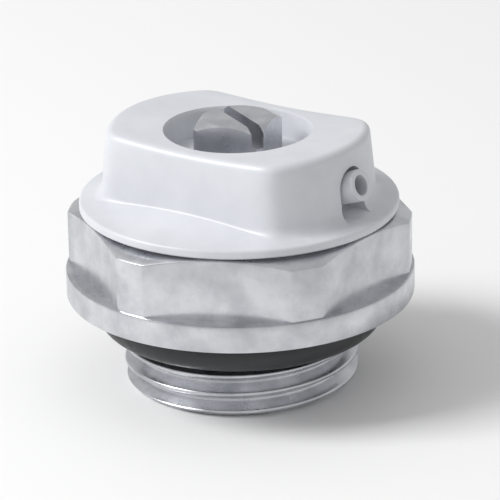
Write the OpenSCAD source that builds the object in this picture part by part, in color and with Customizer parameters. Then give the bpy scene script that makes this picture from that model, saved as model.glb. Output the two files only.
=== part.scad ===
// Radiator vent plug with a swivelling side outlet, G 3/8, for a 22 mm spanner and a 5 mm vent key.
// Millimetres. Z is the thread axis and points away from the radiator. The origin is the middle of
// the threaded end's face. The outlet points along +X and the cap's flats face -Y and +Y.

/* [Threaded end] */
// Outside diameter of the male thread
thread_d = 16.66; // [16.2:0.02:17.2]
// Length of the threaded part, from the end face to the ring groove
thread_l = 3.85; // [3.2:0.05:6]
// Width and depth of the chamfer on the thread's end
thread_chamfer = 0.45; // [0.2:0.05:0.8]
// Diameter of the recess in the end face
end_recess_d = 9; // [7:0.1:11]
// Depth of the recess in the end face
end_recess_depth = 2.4; // [1:0.1:3.2]
// Diameter of the water inlet that the tip seal closes
inlet_d = 3.2; // [2.4:0.1:3.6]
// Length of the inlet, from the recess to the seat of the tip seal
inlet_l = 1.9; // [1.4:0.1:2.2]

/* [Collar and head] */
// Diameter of the groove that carries the collar's sealing ring
ring_groove_d = 15.15; // [14.6:0.05:15.6]
// Width of that groove, up to the collar
ring_groove_w = 2.7; // [2.7:0.05:3.4]
// Diameter of the round collar
collar_d = 24.6; // [24.2:0.1:28]
// Thickness of the round collar
collar_t = 1.9; // [1.2:0.1:3]
// Chamfer on the collar's two rims
collar_edge = 0.12; // [0.05:0.01:0.3]
// Width of the six-sided head across its flats
head_af = 22; // [21.6:0.1:22.4]
// Diameter to which the head's six corners are turned
head_corner_d = 24.2; // [23.6:0.1:24.8]
// Height of the six-sided head above the collar
head_h = 4.25; // [3.6:0.05:6]
// Diameter of the flat top face of the head
head_top_d = 21.8; // [21:0.1:21.8]
// Angle of the chamfer that cuts the head's corners
head_chamfer = 24; // [15:1:35]
// Turn of the head's first corner from the +X axis
head_turn = 26.6; // [0:0.1:59.9]

/* [Neck] */
// Diameter of the neck on which the cap swivels
neck_d = 9.2; // [9:0.05:9.4]
// Height of the neck above the head's top face
neck_h = 1.9; // [1.85:0.05:1.95]
// Depth of the groove that holds the cap's snap bead
snap_depth = 0.32; // [0.2:0.02:0.4]
// Width of the snap groove
snap_w = 0.5; // [0.4:0.05:0.6]
// Height of the snap groove's lower side above the head
snap_rise = 0.5; // [0.4:0.05:0.6]
// Height of the land between the snap groove and the waist
snap_land = 0.2; // [0.1:0.05:0.3]
// Diameter of the waist above the snap groove, round which the water runs
waist_d = 8.3; // [8.1:0.05:8.6]
// Width of the four slots that let the water out of the neck
port_w = 1.2; // [0.8:0.1:1.6]
// Diameter of the bore in the neck that takes the spindle's shoulder
neck_bore_d = 7.4; // [7.2:0.05:7.5]
// Depth of that bore, from the neck's rim
neck_bore_depth = 2.3; // [2.1:0.1:3]

/* [Swivel cap] */
// Gap between the head's top face and the cap
cap_gap = 0.15; // [0.1:0.01:0.3]
// Diameter of the cap's flange
flange_d = 22.4; // [21.4:0.1:23]
// Height of the flange's upright rim
flange_rim = 0.65; // [0.4:0.05:1]
// Slope of the flange's upper face, rising towards the middle
flange_slope = 7; // [3:0.5:11]
// Height of the cap's top face above its underside, in the middle
cap_h = 5.4; // [5:0.1:7]
// Radius of the hollow of the saddle-shaped top face
saddle_r = 112; // [60:1:300]
// Width across the two flats at the top
flats_w = 12.6; // [12.2:0.1:13.4]
// Draft of the two flats
flats_draft = 3.5; // [1:0.5:5]
// Diameter over the two round ends at the top
ends_d = 18.3; // [17.6:0.1:19]
// Draft of the round ends
ends_draft = 6; // [3:0.5:8]
// Rounding of the rim of the top face
top_round = 0.5; // [0.3:0.05:0.8]
// Fillet at the foot of the round ends
foot_fillet = 0.8; // [0.4:0.05:1]
// Fillet at the foot of the flats
flats_fillet = 0.25; // [0.15:0.05:0.5]
// Diameter of the round key well at its rim
well_d = 10.2; // [9.6:0.1:10.6]
// Narrowing of the key well from rim to floor, on the diameter
well_taper = 0.2; // [0:0.05:0.4]
// Thickness of the web that closes the well's floor
web_t = 1.65; // [1.6:0.05:1.9]
// Space between the neck's rim and the web
web_gap = 0.15; // [0.1:0.01:0.2]
// Running clearance between the neck and the cap, on the radius
swivel_fit = 0.08; // [0.05:0.01:0.1]

/* [Outlet] */
// Outside diameter of the outlet spout
spout_d = 2.2; // [1.9:0.05:2.4]
// Bore of the outlet spout
spout_bore = 1.4; // [1:0.05:1.5]
// Slope of the spout, away from the radiator
spout_tilt = 19; // [16:1:22]
// Distance of the spout's mouth from the cap's axis
spout_reach = 10.1; // [9.8:0.05:10.4]
// Height of the spout's mouth above the cap's underside
spout_rise = 3.2; // [3:0.05:3.3]
// Width of the arched recess round the spout
arch_w = 2.8; // [2.6:0.05:3.2]
// Distance of the recess's back wall from the cap's axis
arch_back = 8.1; // [7.8:0.05:8.6]

/* [Vent spindle] */
// Width of the square across its flats
square_af = 5; // [4.9:0.02:5.1]
// Diameter to which the square's corners are turned
square_corner_d = 6.6; // [6.3:0.05:6.65]
// Height of the spindle's top above the middle of the cap's top face
square_rise = 0.95; // [0.4:0.05:2]
// Diameter of the flat top of the square
square_top_d = 4.9; // [4.4:0.1:5]
// Height of the turned chamfer on the square's corners
square_chamfer = 0.5; // [0.3:0.05:0.8]
// Width of the screwdriver slot
slot_w = 0.9; // [0.7:0.05:1.1]
// Depth of the screwdriver slot
slot_depth = 1.4; // [1:0.1:1.8]
// Turn of the slot from the +X axis
slot_turn = -29.6; // [-180:0.1:180]
// Diameter of the shank that seals in the cap's web
shank_d = 6.7; // [6.65:0.01:6.75]
// Diameter of the shoulder that stops the spindle under the web
shoulder_d = 7.2; // [7.1:0.02:7.3]
// Thickness of that shoulder
shoulder_t = 0.75; // [0.5:0.05:0.8]
// Diameter of the relief between the shoulder and the thread
relief_d = 5; // [4.6:0.1:5.4]
// Width of that relief
relief_w = 0.5; // [0.3:0.05:0.8]
// Diameter of the spindle's thread
screw_d = 6; // [5.6:0.05:6.2]
// Lead of the spindle's thread for each turn
screw_lead = 0.75; // [0.5:0.05:0.75]
// Width over the two milled flats that let the water past
bypass_w = 4.8; // [4.4:0.1:5.2]
// Running clearance of the spindle in its bores, on the radius
spindle_fit = 0.05; // [0.03:0.01:0.08]

/* [Seals] */
// Thickness of the collar's sealing ring
ring_t = 2.6; // [2.4:0.05:2.6]
// Thickness of the ring between head and cap
cap_ring_t = 1; // [0.8:0.05:1]
// Inside diameter of the ring between head and cap
cap_ring_id = 10.8; // [10.6:0.1:12.4]
// Thickness of the ring on the spindle's shank
shank_ring_t = 0.85; // [0.7:0.05:0.9]
// Diameter of the tip seal
tip_d = 4.6; // [4:0.1:5]
// Thickness of the tip seal below the spindle
tip_t = 0.9; // [0.6:0.05:1.2]
// Chamfer on the tip seal's lower rim
tip_edge = 0.2; // [0.1:0.05:0.3]
// Diameter of the stud that holds the tip seal in the spindle
stud_d = 2.4; // [1.8:0.1:2.8]
// Length of that stud
stud_l = 1.6; // [1:0.1:2]
// Gap left between seals and what they touch
seal_gap = 0.02; // [0.01:0.01:0.03]

/* [Hidden] */

// Facets of a turned face, of a small round and of a spout or a ring's section
fine = 96;
medium = 64;
coarse = 48;
// How far a cut runs past the face it opens, and how far one solid sinks into the next
cut = 0.5;
sink = 0.2;
// Gap left where the spindle's shoulder stops under the web
stop_gap = 0.05;

// Levels along the axis
collar_z = thread_l + ring_groove_w;
head_z = collar_z + collar_t;
head_top_z = head_z + head_h;
neck_top_z = head_top_z + neck_h;
snap_z = head_top_z + snap_rise;
waist_z = snap_z + snap_w + snap_land;
neck_bore_z = neck_top_z - neck_bore_depth;
cap_z = head_top_z + cap_gap;
cap_top_z = cap_z + cap_h;
web_z = neck_top_z + web_gap;
well_z = web_z + web_t;
spindle_top_z = cap_top_z + square_rise;
shoulder_top_z = web_z - screw_lead - stop_gap;
shoulder_z = shoulder_top_z - shoulder_t;
seat_z = end_recess_depth + inlet_l;
tip_z = seat_z + seal_gap;
spindle_z = tip_z + tip_t;

// Radii that follow from the fits
thread_r = thread_d / 2;
neck_r = neck_d / 2;
cap_bore_r = neck_r + swivel_fit;
screw_bore_r = screw_d / 2 + spindle_fit;
shank_r = shank_d / 2;
web_bore_r = shank_r + spindle_fit;
square_r = square_corner_d / 2;

// Groove of the shank ring, low in the web, so that it stays in the web when the spindle rises
shank_groove_w = shank_ring_t + 2 * seal_gap;
shank_groove_z = web_z + seal_gap;
shank_ring_r = web_bore_r - seal_gap - shank_ring_t / 2;
shank_groove_r = shank_ring_r - shank_ring_t / 2 - seal_gap;

// Groove of the cap ring, in the head's top face
cap_ring_r = (cap_ring_id + cap_ring_t) / 2;
cap_groove_r = cap_ring_id / 2 - seal_gap;
cap_groove_w = cap_ring_t + 2 * seal_gap;
cap_groove_depth = cap_groove_w - cap_gap;

// Spout axis: it meets its mouth at this point and falls towards the neck
mouth = [spout_reach, 0, cap_z + spout_rise];

module ring(mean_r, section_d, z) {
    translate([0, 0, z])
        rotate_extrude($fn = fine)
            translate([mean_r, 0])
                circle(d = section_d, $fn = coarse);
}

// Half-space below a cone, used to turn the corners of a prism
module turned_top(top_r, top_z, angle, base_r, base_z) {
    drop = (base_r - top_r) * tan(angle);
    rotate_extrude($fn = fine)
        polygon([[0, base_z], [base_r, base_z], [base_r, top_z - drop], [top_r, top_z], [0, top_z]]);
}

module body_profile() {
    r_end = thread_r - thread_chamfer;
    r_groove = ring_groove_d / 2;
    r_collar = collar_d / 2;
    polygon([
        [0, 0],
        [r_end, 0],
        [thread_r, thread_chamfer],
        [thread_r, thread_l - thread_chamfer / 2],
        [thread_r - thread_chamfer / 2, thread_l],
        [r_groove, thread_l],
        [r_groove, collar_z],
        [r_collar - collar_edge, collar_z],
        [r_collar, collar_z + collar_edge],
        [r_collar, head_z - collar_edge],
        [r_collar - collar_edge, head_z],
        [0, head_z]
    ]);
}

module neck_profile() {
    root_z = head_top_z - sink;
    snap_r = neck_r - snap_depth;
    edge = 0.15;
    polygon([
        [0, root_z],
        [neck_r, root_z],
        [neck_r, snap_z],
        [snap_r, snap_z],
        [snap_r, snap_z + snap_w],
        [neck_r, snap_z + snap_w],
        [neck_r, waist_z],
        [waist_d / 2, waist_z + (neck_r - waist_d / 2)],
        [waist_d / 2, neck_top_z - edge],
        [waist_d / 2 - edge, neck_top_z],
        [0, neck_top_z]
    ]);
}

// The passage from the end face up to the neck's rim: recess, cone, inlet, seat, screw bore, neck bore
module passage_profile() {
    cone_slope = 31;
    seat_land = 0.15;
    cone_h = (end_recess_d - inlet_d) / 2 * tan(cone_slope);
    cone_top = min(end_recess_depth + cone_h, seat_z - seat_land);
    lead_in = neck_bore_d / 2 - screw_bore_r;
    polygon([
        [0, -cut],
        [end_recess_d / 2, -cut],
        [end_recess_d / 2, end_recess_depth],
        [inlet_d / 2, cone_top],
        [inlet_d / 2, seat_z],
        [screw_bore_r, seat_z],
        [screw_bore_r, neck_bore_z - lead_in],
        [neck_bore_d / 2, neck_bore_z],
        [neck_bore_d / 2, neck_top_z + cut],
        [0, neck_top_z + cut]
    ]);
}

module six_sided_head() {
    head_r = head_af / 2 / cos(30);
    root_z = head_z - sink;
    rotate([0, 0, head_turn])
        intersection() {
            translate([0, 0, root_z])
                cylinder(r = head_r, h = head_top_z - root_z, $fn = 6);
            turned_top(head_top_d / 2, head_top_z, head_chamfer, head_corner_d / 2, root_z);
        }
}

module plug_body() {
    port_rise = 0.3;
    color([0.66, 0.67, 0.70])
        difference() {
            union() {
                rotate_extrude($fn = fine) body_profile();
                six_sided_head();
                rotate_extrude($fn = fine) neck_profile();
            }
            rotate_extrude($fn = fine) passage_profile();
            // groove for the cap ring
            translate([0, 0, head_top_z - cap_groove_depth])
                difference() {
                    cylinder(r = cap_groove_r + cap_groove_w, h = cap_groove_depth + cut, $fn = fine);
                    translate([0, 0, -cut])
                        cylinder(r = cap_groove_r, h = cap_groove_depth + 3 * cut, $fn = fine);
                }
            // water slots in the neck's rim
            for (turn = [0, 90])
                rotate([0, 0, turn + 45])
                    translate([-neck_d, -port_w / 2, waist_z + port_rise])
                        cube([2 * neck_d, port_w, neck_h]);
        }
}

module collar_seal() {
    color([0.07, 0.075, 0.08])
        ring(ring_groove_d / 2 + seal_gap + ring_t / 2, ring_t, collar_z - ring_t / 2 - seal_gap);
}

module cap_seal() {
    color([0.07, 0.075, 0.08])
        ring(cap_ring_r, cap_ring_t, cap_z - seal_gap - cap_ring_t / 2);
}

module spindle_seal() {
    color([0.07, 0.075, 0.08])
        ring(shank_ring_r, shank_ring_t, shank_groove_z + shank_groove_w / 2);
}

module tip_seal() {
    tip_r = tip_d / 2;
    stud_r = stud_d / 2;
    color([0.12, 0.12, 0.13])
        rotate_extrude($fn = medium)
            polygon([
                [0, tip_z],
                [tip_r - tip_edge, tip_z],
                [tip_r, tip_z + tip_edge],
                [tip_r, spindle_z - seal_gap],
                [stud_r, spindle_z - seal_gap],
                [stud_r, spindle_z + stud_l],
                [0, spindle_z + stud_l]
            ]);
}

// Height of the saddle-shaped top face at a distance x along the flats
function saddle(x) = cap_top_z + x * x / (2 * saddle_r);

// Height of the flange's sloping upper face at a distance r from the axis
function flange_top(r) = cap_z + flange_rim + (flange_d / 2 - r) * tan(flange_slope);

// Distance of the cap's drafted side from the axis, in the direction a and at the level z.
// The flats and the round ends meet in a soft edge, which the power blends.
edge_power = 26;
function flat_at(z) = flats_w / 2 + (cap_top_z - z) * tan(flats_draft);
function end_at(z) = ends_d / 2 + (cap_top_z - z) * tan(ends_draft);
function side(a, z) =
    pow(pow(abs(sin(a)) / flat_at(z), edge_power) + pow(1 / end_at(z), edge_power), -1 / edge_power);

// How far the direction a belongs to a round end (1) or to a flat (0)
flat_until = 0.6;
round_from = 0.75;
function endness(a) = min(1, max(0, (abs(cos(a)) - flat_until) / (round_from - flat_until)));

// One point of the cap's outer skin: step s walks up the foot fillet, the wall and the top rounding,
// and then inwards over the saddle
foot_steps = 5;
wall_steps = 3;
round_steps = 5;
skin_turns = 96;
skin_steps = foot_steps + wall_steps + round_steps;
foot_sink = 0.04;
function foot_r(a) = flats_fillet + (foot_fillet - flats_fillet) * endness(a);
function foot_z(a) = flange_top(side(a, cap_z + flange_rim) + foot_r(a)) - foot_sink;
function rim_z(a) = saddle(side(a, cap_top_z) * cos(a));

function skin_foot(a, t) =
    let (f = foot_r(a), z = foot_z(a) + f * (1 - cos(t)), r = side(a, z) + f * (1 - sin(t)))
    [r * cos(a), r * sin(a), z];
function skin_wall(a, t) =
    let (z0 = foot_z(a) + foot_r(a), z1 = rim_z(a) - top_round, z = z0 + (z1 - z0) * t, r = side(a, z))
    [r * cos(a), r * sin(a), z];
function skin_round(a, t) =
    let (z = rim_z(a) - top_round * (1 - sin(t)), r = side(a, z) - top_round * (1 - cos(t)))
    [r * cos(a), r * sin(a), z];

function skin_point(a, s) =
    s <= foot_steps ? skin_foot(a, 90 * s / foot_steps)
    : s <= foot_steps + wall_steps ? skin_wall(a, (s - foot_steps) / wall_steps)
    : skin_round(a, 90 * (s - foot_steps - wall_steps) / round_steps);

module cap_skin() {
    floor_z = cap_z + flange_rim / 2;
    shrink = [0.82, 0.45];
    outline = [for (i = [0 : skin_turns - 1]) 360 * i / skin_turns];
    // the foot ring is carried down into the flange, so that the two solids join
    base_ring = [for (a = outline) let (p = skin_point(a, 0)) [p[0], p[1], floor_z]];
    side_rings = [for (s = [0 : skin_steps]) for (a = outline) skin_point(a, s)];
    top_rings = [for (k = shrink) for (a = outline)
        let (p = skin_point(a, skin_steps)) [k * p[0], k * p[1], saddle(k * p[0])]];
    points = concat(base_ring, side_rings, top_rings, [[0, 0, floor_z], [0, 0, cap_top_z]]);
    rings = 1 + skin_steps + 1 + len(shrink);
    n = skin_turns;
    walls = [for (s = [0 : rings - 2]) for (i = [0 : n - 1])
        let (j = (i + 1) % n) each [
            [s * n + i, (s + 1) * n + i, (s + 1) * n + j],
            [s * n + i, (s + 1) * n + j, s * n + j]]];
    low = rings * n;
    lids = [for (i = [0 : n - 1])
        let (j = (i + 1) % n) each [
            [low, i, j],
            [low + 1, (rings - 1) * n + j, (rings - 1) * n + i]]];
    polyhedron(points = points, faces = concat(walls, lids), convexity = 6);
}

module flange() {
    r = flange_d / 2;
    edge = 0.12;
    bead = 0.22;
    inner_r = well_d / 2;
    rim_z = cap_z + flange_rim;
    rotate_extrude($fn = fine)
        polygon(concat(
            [[0, cap_z], [r - edge, cap_z], [r, cap_z + edge]],
            [for (t = [0 : 15 : 90]) [r - bead + bead * cos(t), rim_z - bead + bead * sin(t)]],
            [[inner_r, flange_top(inner_r)], [0, flange_top(inner_r)]]));
}

// Everything along the spout's axis, with z = 0 at the mouth and +z outwards
module on_spout_axis() {
    translate(mouth) rotate([0, 90 - spout_tilt, 0]) children();
}

// A recess with a round arch on top, cut into the round end and open towards +X
module arch_recess() {
    r = arch_w / 2;
    depth = flange_d / 2 - arch_back;
    rim_z = cap_z + flange_rim;
    centre_z = mouth[2] - (spout_reach - end_at(mouth[2])) * tan(spout_tilt);
    translate([arch_back, 0, 0]) {
        translate([0, 0, centre_z])
            rotate([0, 90, 0])
                cylinder(r = r, h = depth, $fn = medium);
        // the recess runs down to the flange's sloping face
        difference() {
            translate([0, -r, rim_z])
                cube([depth, arch_w, centre_z - rim_z]);
            translate([0, 0, flange_top(arch_back)])
                rotate([0, flange_slope, 0])
                    translate([-flange_d, -flange_d / 2, -flange_d])
                        cube([2 * flange_d, flange_d, flange_d]);
        }
    }
}

// The spout runs from inside the recess's back wall to its mouth
module spout() {
    spout_l = (spout_reach - arch_back + spout_d / 4) / cos(spout_tilt);
    on_spout_axis()
        translate([0, 0, -spout_l])
            cylinder(d = spout_d, h = spout_l, $fn = coarse);
}

// The water channel runs from the space round the neck's waist to the spout's mouth
module spout_channel() {
    channel_l = (spout_reach - waist_d / 2) / cos(spout_tilt);
    on_spout_axis()
        translate([0, 0, -channel_l])
            cylinder(d = spout_bore, h = channel_l + cut, $fn = coarse);
}

// Round key well with an eased lip
module key_well() {
    lip = 0.15;
    well_r = well_d / 2;
    rim_z = cap_top_z - lip;
    lip_r = well_r + lip;
    rotate_extrude($fn = fine)
        polygon([
            [0, well_z],
            [well_r - well_taper / 2, well_z],
            [well_r, rim_z],
            [lip_r, cap_top_z + lip],
            [lip_r, cap_top_z + cut],
            [0, cap_top_z + cut]
        ]);
}

// Bore for the neck, with a lead-in, and with the snap bead left standing in the neck's groove
module neck_socket() {
    lead_in = 0.2;
    bead_gap = 0.06;
    bead_slope = 0.1;
    bead_r = cap_bore_r - snap_depth;
    bead_z = snap_z + bead_gap;
    bead_top_z = snap_z + snap_w - bead_gap;
    rotate_extrude($fn = fine)
        polygon([
            [0, cap_z - cut],
            [cap_bore_r + lead_in, cap_z - cut],
            [cap_bore_r + lead_in, cap_z],
            [cap_bore_r, cap_z + lead_in],
            [cap_bore_r, bead_z],
            [bead_r, bead_z + bead_slope],
            [bead_r, bead_top_z - bead_slope],
            [cap_bore_r, bead_top_z],
            [cap_bore_r, web_z],
            [0, web_z]
        ]);
}

module swivel_cap() {
    color([0.80, 0.82, 0.85])
        difference() {
            union() {
                difference() {
                    union() {
                        flange();
                        cap_skin();
                    }
                    arch_recess();
                }
                spout();
            }
            key_well();
            neck_socket();
            // bore in the web for the spindle's shank
            translate([0, 0, web_z - cut])
                cylinder(r = web_bore_r, h = web_t + 2 * cut, $fn = fine);
            spout_channel();
        }
}

module spindle_turning() {
    tip_chamfer = 0.5;
    relief_slope = 0.3;
    // the shank ends just under the well's floor
    shank_top_z = well_z - stop_gap;
    screw_r = screw_d / 2;
    relief_r = relief_d / 2;
    rotate_extrude($fn = fine)
        polygon([
            [0, spindle_z],
            [screw_r - tip_chamfer, spindle_z],
            [screw_r, spindle_z + tip_chamfer],
            [screw_r, shoulder_z - relief_w - relief_slope],
            [relief_r, shoulder_z - relief_w],
            [relief_r, shoulder_z],
            [shoulder_d / 2, shoulder_z],
            [shoulder_d / 2, shoulder_top_z],
            [shank_r, shoulder_top_z],
            [shank_r, shank_groove_z],
            [shank_groove_r, shank_groove_z],
            [shank_groove_r, shank_groove_z + shank_groove_w],
            [shank_r, shank_groove_z + shank_groove_w],
            [shank_r, shank_top_z],
            [0, shank_top_z]
        ]);
}

module square_head() {
    root_z = well_z - sink;
    rise = spindle_top_z - root_z;
    angle = atan(square_chamfer / (square_r - square_top_d / 2));
    intersection() {
        translate([-square_af / 2, -square_af / 2, root_z])
            cube([square_af, square_af, rise]);
        turned_top(square_top_d / 2, spindle_top_z, angle, square_r, root_z);
    }
}

module vent_spindle() {
    color([0.60, 0.61, 0.63])
        rotate([0, 0, slot_turn])
            difference() {
                union() {
                    spindle_turning();
                    rotate([0, 0, 45]) square_head();
                }
                // screwdriver slot across the square's corners
                translate([-square_r - cut, -slot_w / 2, spindle_top_z - slot_depth])
                    cube([2 * (square_r + cut), slot_w, slot_depth + cut]);
                // two milled flats let the water past the thread and the shoulder
                for (flip = [0, 180])
                    rotate([0, 0, flip])
                        translate([-shoulder_d, bypass_w / 2, spindle_z - cut])
                            cube([2 * shoulder_d, shoulder_d, shoulder_top_z - spindle_z + cut]);
                // socket for the tip seal's stud
                translate([0, 0, spindle_z - cut])
                    cylinder(r = stud_d / 2 + spindle_fit, h = cut + stud_l + seal_gap, $fn = coarse);
            }
}

plug_body();
collar_seal();
swivel_cap();
vent_spindle();
cap_seal();
spindle_seal();
tip_seal();
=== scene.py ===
from math import atan, cos, pi, radians, sin, tan
import bpy
from mathutils import Matrix, Vector


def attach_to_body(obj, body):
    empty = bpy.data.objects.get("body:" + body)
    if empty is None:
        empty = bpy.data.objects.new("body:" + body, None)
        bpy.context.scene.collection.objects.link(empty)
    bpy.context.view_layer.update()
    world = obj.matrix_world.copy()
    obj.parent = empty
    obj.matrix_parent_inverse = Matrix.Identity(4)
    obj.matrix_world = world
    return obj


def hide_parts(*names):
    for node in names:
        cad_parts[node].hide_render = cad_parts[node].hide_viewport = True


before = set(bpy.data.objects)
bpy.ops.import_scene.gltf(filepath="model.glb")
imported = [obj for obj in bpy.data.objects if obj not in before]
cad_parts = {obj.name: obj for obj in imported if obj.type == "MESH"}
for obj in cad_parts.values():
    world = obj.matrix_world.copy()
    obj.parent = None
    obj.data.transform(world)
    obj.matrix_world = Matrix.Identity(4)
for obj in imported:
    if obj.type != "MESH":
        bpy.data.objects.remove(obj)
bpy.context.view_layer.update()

# Plug body: one bar-turned brass piece with a G 3/8 male thread, a ring groove, a round collar, a
# milled hexagon and the neck that carries the cap. It is turned, milled, threaded and then
# nickel-plated all over, which leaves the faces satin and faintly mottled.
MM = 0.001
END_RECESS = (4.5, 2.4)
INLET = (1.6, 4.3)
COLLAR_Z, HEAD_Z, HEAD_TOP_Z, NECK_TOP_Z = 6.55, 8.45, 12.7, 14.6
COLLAR_R, HEAD_CORNER_R, HEAD_AF, HEAD_TURN = 12.3, 12.1, 22.0, 26.6
THREAD_R, THREAD_L, PITCH = 8.33, 3.85, 1.337


def deselect():
    """Leaves nothing selected, so that the next operator acts on the new piece alone."""
    if bpy.context.object and bpy.context.object.mode != "OBJECT":
        bpy.ops.object.mode_set(mode="OBJECT")
    bpy.ops.object.select_all(action="DESELECT")


def pick(piece):
    deselect()
    piece.select_set(True)
    bpy.context.view_layer.objects.active = piece


def apply_place(piece):
    """The place and turn go into the mesh, so that the piece's object sits at the origin."""
    pick(piece)
    bpy.ops.object.transform_apply(location=True, rotation=True, scale=True)
    return piece


def turned(name, outline, turns=192, closed=False):
    """A turned piece: a ring is extruded and resized along an outline of (radius, height) in mm.
    A closed outline makes a ring-shaped piece, and an open one is filled at both its ends."""
    deselect()
    radius, height = outline[0]
    bpy.ops.mesh.primitive_circle_add(vertices=turns, radius=radius * MM, location=(0, 0, height * MM))
    piece = bpy.context.object
    piece.name = name
    apply_place(piece)
    bpy.ops.object.mode_set(mode="EDIT")
    bpy.ops.mesh.select_all(action="SELECT")
    for new_radius, new_height in outline[1:]:
        bpy.ops.mesh.extrude_region_move(TRANSFORM_OT_translate={"value": (0, 0, (new_height - height) * MM)})
        grow = new_radius / radius
        bpy.ops.transform.resize(value=(grow, grow, 1), center_override=(0, 0, 0))
        radius, height = new_radius, new_height
    bpy.ops.mesh.select_all(action="SELECT")
    bpy.ops.mesh.remove_doubles(threshold=1e-6)
    if not closed:
        bpy.ops.mesh.fill_holes(sides=0)
    bpy.ops.mesh.select_all(action="SELECT")
    bpy.ops.mesh.normals_make_consistent(inside=False)
    bpy.ops.object.mode_set(mode="OBJECT")
    return piece


def join(piece, tool, operation):
    """Unites, cuts or intersects the piece with a tool, which is used up."""
    pick(piece)
    step = piece.modifiers.new("join", "BOOLEAN")
    step.operation, step.solver, step.object = operation, "EXACT", tool
    bpy.ops.object.modifier_apply(modifier=step.name)
    bpy.data.objects.remove(tool)
    return piece


def ease_edges(piece, width, steps=2, angle=30):
    """Rounds the sharp edges, as tumbling and plating leave them."""
    pick(piece)
    step = piece.modifiers.new("ease", "BEVEL")
    step.width, step.segments, step.limit_method, step.angle_limit = width * MM, steps, "ANGLE", radians(angle)
    bpy.ops.object.modifier_apply(modifier=step.name)
    return piece


def smooth(piece, angle=28):
    pick(piece)
    bpy.ops.object.shade_smooth_by_angle(angle=radians(angle))
    return piece


# core of the bar: ring groove, collar and the root of the head
plug = turned("plated_plug", [
    (7.2, 0.5), (7.2, 3.8), (7.575, 3.8), (7.575, COLLAR_Z), (COLLAR_R - 0.14, COLLAR_Z),
    (COLLAR_R - 0.04, COLLAR_Z + 0.04), (COLLAR_R, COLLAR_Z + 0.14), (COLLAR_R, HEAD_Z - 0.14),
    (COLLAR_R - 0.04, HEAD_Z - 0.04), (COLLAR_R - 0.14, HEAD_Z), (9.0, HEAD_Z), (9.0, HEAD_Z + 1)])

# six-sided head: a milled hexagon whose corners are turned and chamfered on top
deselect()
bpy.ops.mesh.primitive_cylinder_add(
    vertices=6, radius=HEAD_AF / 2 / cos(pi / 6) * MM, depth=(HEAD_TOP_Z - HEAD_Z + 0.2) * MM,
    location=(0, 0, (HEAD_TOP_Z + HEAD_Z - 0.2) / 2 * MM), rotation=(0, 0, radians(HEAD_TURN - 30)))
head = apply_place(bpy.context.object)
blank = turned("head_blank", [
    (HEAD_CORNER_R, HEAD_Z - 1), (HEAD_CORNER_R, HEAD_TOP_Z - (HEAD_CORNER_R - 10.9) * tan(radians(24))),
    (10.9, HEAD_TOP_Z), (5, HEAD_TOP_Z)], turns=240)
head = ease_edges(join(head, blank, "INTERSECT"), 0.09)

# thread: one pitch of the 55 degree form is screwed up the axis and turned to its chamfered blank
FORM_R = 0.1836
CREST = [(THREAD_R - FORM_R + FORM_R * cos(t), FORM_R * sin(t))
         for t in (radians(d) for d in (-62.5, -40, -15, 15, 40, 62.5))]
ROOT = [(THREAD_R - 0.856 + FORM_R - FORM_R * cos(t), PITCH / 2 - FORM_R * sin(t))
        for t in (radians(d) for d in (62.5, 35, 0, -35, -62.5))]
deselect()
bpy.ops.mesh.primitive_circle_add(vertices=3, radius=MM)
thread = bpy.context.object
thread.data.clear_geometry()
form = [(r * MM, 0, (z - PITCH / 2 - 2 * PITCH) * MM) for r, z in CREST + ROOT + [(CREST[0][0], CREST[0][1] + PITCH)]]
thread.data.from_pydata(form, [(i, i + 1) for i in range(len(form) - 1)], [])
pick(thread)
screw = thread.modifiers.new("screw", "SCREW")
screw.angle, screw.screw_offset, screw.iterations = 2 * pi, PITCH * MM, 8
screw.steps = screw.render_steps = 96
screw.use_merge_vertices, screw.merge_threshold = True, 1e-6
bpy.ops.object.modifier_apply(modifier=screw.name)
bpy.ops.object.mode_set(mode="EDIT")
bpy.ops.mesh.select_all(action="SELECT")
bpy.ops.mesh.remove_doubles(threshold=2e-6)
bpy.ops.mesh.select_all(action="DESELECT")
bpy.ops.mesh.select_mode(type="EDGE")
bpy.ops.mesh.select_non_manifold(extend=False)
bpy.ops.mesh.fill_holes(sides=0)
bpy.ops.mesh.select_all(action="SELECT")
bpy.ops.mesh.normals_make_consistent(inside=False)
bpy.ops.object.mode_set(mode="OBJECT")
blank = turned("thread_blank", [
    (THREAD_R - 0.45, 0), (THREAD_R, 0.45), (THREAD_R, THREAD_L - 0.25), (THREAD_R - 0.3, THREAD_L)])
join(blank, thread, "INTERSECT")

join(plug, head, "UNION")
join(plug, blank, "UNION")
SNAP_Z, WAIST_Z = HEAD_TOP_Z + 0.5, HEAD_TOP_Z + 1.2
neck = turned("neck", [
    (4.6, HEAD_TOP_Z - 1), (4.6, SNAP_Z), (4.28, SNAP_Z), (4.28, SNAP_Z + 0.5), (4.6, SNAP_Z + 0.5),
    (4.6, WAIST_Z), (4.15, WAIST_Z + 0.45), (4.15, NECK_TOP_Z - 0.15), (4, NECK_TOP_Z)])
join(plug, neck, "UNION")
join(plug, turned("passage", [
    (4.6, -0.5), (4.6, 0), (4.5, 0.1), (4.5, 2.4), (1.6, 4.15), (1.6, 4.3), (3.05, 4.3), (3.05, 11.65),
    (3.7, 12.3), (3.7, 15.1)]), "DIFFERENCE")
join(plug, turned("ring_cut", [
    (5.38, HEAD_TOP_Z - 0.89), (6.42, HEAD_TOP_Z - 0.89), (6.42, 13.2), (5.38, 13.2), (5.38, HEAD_TOP_Z - 0.89)],
    closed=True), "DIFFERENCE")
for turn in (45, 135):
    deselect()
    bpy.ops.mesh.primitive_cube_add(
        size=1, location=(0, 0, (WAIST_Z + 0.3 + 0.95) * MM), rotation=(0, 0, radians(turn)),
        scale=(18.4 * MM, 1.2 * MM, 1.9 * MM))
    join(plug, apply_place(bpy.context.object), "DIFFERENCE")
smooth(plug)


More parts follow.
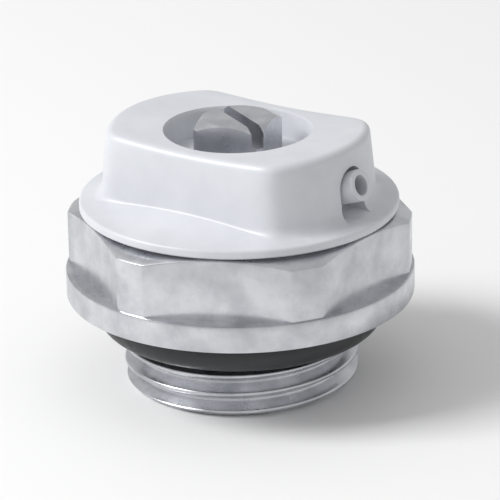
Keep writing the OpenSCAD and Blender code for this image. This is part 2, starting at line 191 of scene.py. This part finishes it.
def surface(name, base, metallic, roughness):
    """A new material and its shader, with the plain values set on the shader's own sockets."""
    material = bpy.data.materials.new(name)
    material.use_nodes = True
    shader = material.node_tree.nodes["Principled BSDF"]
    shader.inputs["Base Color"].default_value = (*base, 1)
    shader.inputs["Metallic"].default_value = metallic
    shader.inputs["Roughness"].default_value = roughness
    return material, shader


def node(material, kind, inputs=None, **settings):
    """Adds a node, sets its fields, and sets or links its inputs."""
    made = material.node_tree.nodes.new("ShaderNode" + kind)
    for key, value in settings.items():
        setattr(made, key, value)
    for key, value in (inputs or {}).items():
        if isinstance(value, bpy.types.NodeSocket):
            material.node_tree.links.new(value, made.inputs[key])
        else:
            made.inputs[key].default_value = value
    return made


def place(material):
    return node(material, "TexCoord").outputs["Object"]


def mottle(material, scale, detail=3.0, rough=0.55, where=None):
    return node(material, "TexNoise", {
        "Vector": where or place(material), "Scale": scale, "Detail": detail, "Roughness": rough}).outputs["Fac"]


def spread(material, value, low, high, to_low, to_high):
    return node(material, "MapRange", {
        "Value": value, "From Min": low, "From Max": high, "To Min": to_low, "To Max": to_high}).outputs["Result"]


def blend_colour(material, factor, low, high):
    mix = node(material, "Mix", {}, data_type="RGBA")
    for key, value in ((0, factor), (6, low), (7, high)):
        if isinstance(value, bpy.types.NodeSocket):
            material.node_tree.links.new(value, mix.inputs[key])
        else:
            mix.inputs[key].default_value = value if key == 0 else (*value, 1)
    return mix.outputs[2]


def attach(material, shader, socket, value):
    material.node_tree.links.new(value, shader.inputs[socket])


nickel, nickel_shader = surface("nickel_plate", (0.6, 0.61, 0.64), 1, 0.3)
clouds = mottle(nickel, 420)
attach(nickel, nickel_shader, "Base Color", blend_colour(
    nickel, spread(nickel, clouds, 0.35, 0.65, 0, 1), (0.50, 0.51, 0.54), (0.66, 0.67, 0.70)))
attach(nickel, nickel_shader, "Roughness", spread(nickel, mottle(nickel, 900), 0.3, 0.7, 0.24, 0.36))
plug.data.materials.clear()
plug.data.materials.append(nickel)
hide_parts("plug_body")
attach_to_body(plug, "plug")

# Sealing rings and the valve's tip seal: moulded black rubber, pushed into their grooves and onto
# the spindle's end. The rings show a faint sheen, and the tip is dull.
rubber, rubber_shader = surface("black_rubber", (0.02, 0.021, 0.023), 0, 0.42)
attach(rubber, rubber_shader, "Roughness", spread(rubber, mottle(rubber, 1500), 0.3, 0.7, 0.34, 0.5))
tip_rubber, tip_shader = surface("dull_rubber", (0.045, 0.045, 0.05), 0, 0.6)
attach(tip_rubber, tip_shader, "Roughness", spread(tip_rubber, mottle(tip_rubber, 1500), 0.3, 0.7, 0.55, 0.7))
for ring_name, finish in (("collar_seal", rubber), ("cap_seal", rubber), ("spindle_seal", rubber), ("tip_seal", tip_rubber)):
    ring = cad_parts[ring_name]
    ring.data.materials.clear()
    ring.data.materials.append(finish)

# Vent spindle: a turned and milled brass screw, nickel-plated, with a slotted 5 mm square for the key.
# It screws into the plug's middle and closes the inlet with its tip seal.
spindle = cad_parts["vent_spindle"]
spindle.data.materials.clear()
spindle.data.materials.append(nickel)

# Swivel cap: one injection moulding of pale grey acetal, snapped onto the neck. The saddle-topped
# housing stands on a round flange; a slanted spout leaves it through an arched recess.
CAP_Z, CAP_TOP_Z, FLANGE_R, FLANGE_RIM = 12.85, 18.25, 11.2, 0.65
SADDLE_R, FLATS_W, FLATS_DRAFT, ENDS_D, ENDS_DRAFT = 112, 12.6, radians(3.5), 18.3, radians(6)
FLANGE_SLOPE, EDGE_POWER, TOP_ROUND = radians(7), 26, 0.5
MOUTH, TILT, WELL_R, WELL_Z, WEB_Z = Vector((10.1, 0, 16.05)), radians(19), 5.1, 16.4, 14.75
SKIN_TURNS = 192


def saddle(x):
    return CAP_TOP_Z + x * x / (2 * SADDLE_R)


def flange_top(r):
    return CAP_Z + FLANGE_RIM + (FLANGE_R - r) * tan(FLANGE_SLOPE)


def side(a, z):
    flat = FLATS_W / 2 + (CAP_TOP_Z - z) * tan(FLATS_DRAFT)
    end = ENDS_D / 2 + (CAP_TOP_Z - z) * tan(ENDS_DRAFT)
    return ((abs(sin(a)) / flat) ** EDGE_POWER + (1 / end) ** EDGE_POWER) ** (-1 / EDGE_POWER)


def endness(a):
    return min(1, max(0, (abs(cos(a)) - 0.6) / 0.15))


def skin_ring(step, a):
    """One point of the housing's skin, in mm: foot fillet, wall, top rounding, then the saddle."""
    foot = 0.25 + 0.55 * endness(a)
    foot_z = flange_top(side(a, CAP_Z + FLANGE_RIM) + foot) - 0.04
    rim_z = saddle(side(a, CAP_TOP_Z) * cos(a))
    kind, t = step
    if kind == "base":
        z = CAP_Z + FLANGE_RIM / 2
        r = side(a, foot_z) + foot
    elif kind == "foot":
        z = foot_z + foot * (1 - cos(t))
        r = side(a, z) + foot * (1 - sin(t))
    elif kind == "wall":
        low, high = foot_z + foot, rim_z - TOP_ROUND
        z = low + (high - low) * t
        r = side(a, z)
    elif kind == "round":
        z = rim_z - TOP_ROUND * (1 - sin(t))
        r = side(a, z) - TOP_ROUND * (1 - cos(t))
    else:
        r = (side(a, rim_z) - TOP_ROUND) * t
        z = saddle(r * cos(a))
    return Vector((r * cos(a), r * sin(a), z)) * MM


SKIN = ([("base", 0)] + [("foot", radians(90) * i / 6) for i in range(7)] + [("wall", i / 4) for i in range(1, 5)]
        + [("round", radians(90) * i / 6) for i in range(1, 7)] + [("top", k) for k in (0.9, 0.78, 0.6)])
deselect()
bpy.ops.mesh.primitive_circle_add(vertices=SKIN_TURNS, radius=MM)
housing = bpy.context.object
bpy.ops.object.mode_set(mode="EDIT")
for i in range(len(SKIN) - 1):
    bpy.ops.mesh.extrude_region_move()
bpy.ops.object.mode_set(mode="OBJECT")
turn_of = [pi / 2 + 2 * pi * i / SKIN_TURNS for i in range(SKIN_TURNS)]
for level, step in enumerate(SKIN):
    for i, a in enumerate(turn_of):
        housing.data.vertices[level * SKIN_TURNS + i].co = skin_ring(step, a)
pick(housing)
bpy.ops.object.mode_set(mode="EDIT")
bpy.ops.mesh.select_all(action="SELECT")
bpy.ops.mesh.fill_holes(sides=0)
bpy.ops.mesh.normals_make_consistent(inside=False)
bpy.ops.object.mode_set(mode="OBJECT")

BEAD = 0.22
cap = turned("pale_swivel_cap", [(FLANGE_R - 0.12, CAP_Z), (FLANGE_R, CAP_Z + 0.12)] + [
    (FLANGE_R - BEAD + BEAD * cos(t), CAP_Z + FLANGE_RIM - BEAD + BEAD * sin(t))
    for t in (radians(15 * i) for i in range(7))] + [(3, flange_top(3))])
join(cap, housing, "UNION")

ARCH_R, ARCH_BACK = 1.4, 8.1
ARCH_Z = MOUTH.z - (MOUTH.x - (ENDS_D / 2 + (CAP_TOP_Z - MOUTH.z) * tan(ENDS_DRAFT))) * tan(TILT)
deselect()
bpy.ops.mesh.primitive_cylinder_add(
    vertices=64, radius=ARCH_R * MM, depth=3.2 * MM, location=((ARCH_BACK + 1.6) * MM, 0, ARCH_Z * MM),
    rotation=(0, radians(90), 0))
arch = apply_place(bpy.context.object)
bpy.ops.object.mode_set(mode="EDIT")
bpy.ops.mesh.select_all(action="DESELECT")
bpy.ops.object.mode_set(mode="OBJECT")
for vertex in arch.data.vertices:
    if vertex.co.z < ARCH_Z * MM - 1e-6:
        vertex.co.y = ARCH_R * MM * (1 if vertex.co.y > 0 else -1)
        vertex.co.z = (flange_top(vertex.co.x / MM) + 0.001) * MM
pick(arch)
bpy.ops.object.mode_set(mode="EDIT")
bpy.ops.mesh.select_all(action="SELECT")
bpy.ops.mesh.remove_doubles(threshold=1e-6)
bpy.ops.mesh.normals_make_consistent(inside=False)
bpy.ops.object.mode_set(mode="OBJECT")
join(cap, arch, "DIFFERENCE")


def on_spout(piece):
    """Turns a piece made along Z, with its mouth at the origin, onto the spout's slanted axis."""
    piece.matrix_world = Matrix.Translation(MOUTH * MM) @ Matrix.Rotation(pi / 2 - TILT, 4, "Y")
    return apply_place(piece)


spout = on_spout(turned("spout", [(1.1, -2.7), (1.1, -0.06), (1.08, -0.02), (1.04, 0), (0.5, 0)], turns=64))
join(cap, spout, "UNION")
LIP = 0.15
join(cap, turned("well", [
    (WELL_R - 0.1, WELL_Z), (WELL_R, CAP_TOP_Z - LIP), (WELL_R + 0.05, CAP_TOP_Z - 0.04),
    (WELL_R + LIP, CAP_TOP_Z + LIP), (WELL_R + LIP, CAP_TOP_Z + 0.5)]), "DIFFERENCE")
BORE_R = 4.68
join(cap, turned("socket", [
    (BORE_R + 0.2, CAP_Z - 0.5), (BORE_R + 0.2, CAP_Z), (BORE_R, CAP_Z + 0.2), (BORE_R, SNAP_Z + 0.06),
    (BORE_R - 0.32, SNAP_Z + 0.16), (BORE_R - 0.32, SNAP_Z + 0.34), (BORE_R, SNAP_Z + 0.44), (BORE_R, WEB_Z)]),
    "DIFFERENCE")
join(cap, turned("shank_bore", [(3.4, WEB_Z - 0.5), (3.4, WELL_Z + 0.5)], turns=96), "DIFFERENCE")
join(cap, on_spout(turned("channel", [(0.7, -6.3), (0.7, -0.05), (0.76, 0.02), (0.76, 0.5)], turns=48)), "DIFFERENCE")
smooth(cap, 32)

acetal, acetal_shader = surface("pale_acetal", (0.60, 0.615, 0.65), 0, 0.38)
attach(acetal, acetal_shader, "Base Color", blend_colour(
    acetal, spread(acetal, mottle(acetal, 300), 0.3, 0.7, 0, 1), (0.57, 0.585, 0.62), (0.63, 0.645, 0.68)))
cap.data.materials.clear()
cap.data.materials.append(acetal)
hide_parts("swivel_cap")
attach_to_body(cap, "cap")

# Floor, light and camera: a plain pale studio at the photograph's angle.
deselect()
bpy.ops.mesh.primitive_plane_add(size=4, location=(0, 0, 0))
floor = bpy.context.object
floor.name = "studio_floor"
paper, paper_shader = surface("studio_paper", (0.85, 0.85, 0.85), 0, 0.7)
floor.data.materials.append(paper)

world = bpy.data.worlds.new("studio")
bpy.context.scene.world = world
world.use_nodes = True
world.node_tree.nodes["Background"].inputs["Color"].default_value = (1, 1, 1, 1)
world.node_tree.nodes["Background"].inputs["Strength"].default_value = 0.6


def soft_light(name, spot, size, power):
    light = bpy.data.lights.new(name, "AREA")
    light.size, light.energy = size, power
    lamp = bpy.data.objects.new(name, light)
    bpy.context.scene.collection.objects.link(lamp)
    lamp.location = spot
    lamp.rotation_mode = "QUATERNION"
    lamp.rotation_quaternion = (Vector(spot) - AIM).to_track_quat("Z", "Y")


AIM = Vector((0, 0, 0.00845))
soft_light("key", (-0.25, -0.25, 0.35), 0.2, 2)

AZIMUTH, ELEVATION, ROLL = radians(34.8), radians(21.16), radians(-1)
BACK = Vector((sin(AZIMUTH) * cos(ELEVATION), -cos(AZIMUTH) * cos(ELEVATION), sin(ELEVATION)))
lens = bpy.data.cameras.new("view")
camera = bpy.data.objects.new("view", lens)
bpy.context.scene.collection.objects.link(camera)
lens.sensor_width, lens.lens = 36, 204.05
lens.clip_start, lens.clip_end = 0.01, 10
lens.shift_x, lens.shift_y = 0.0196, 0.0222
camera.location = AIM + BACK * 0.2
camera.rotation_mode = "QUATERNION"
camera.rotation_quaternion = (-BACK).to_track_quat("-Z", "Y") @ Matrix.Rotation(ROLL, 3, "Z").to_quaternion()
bpy.context.scene.camera = camera
bpy.context.scene.view_settings.view_transform = "Standard"
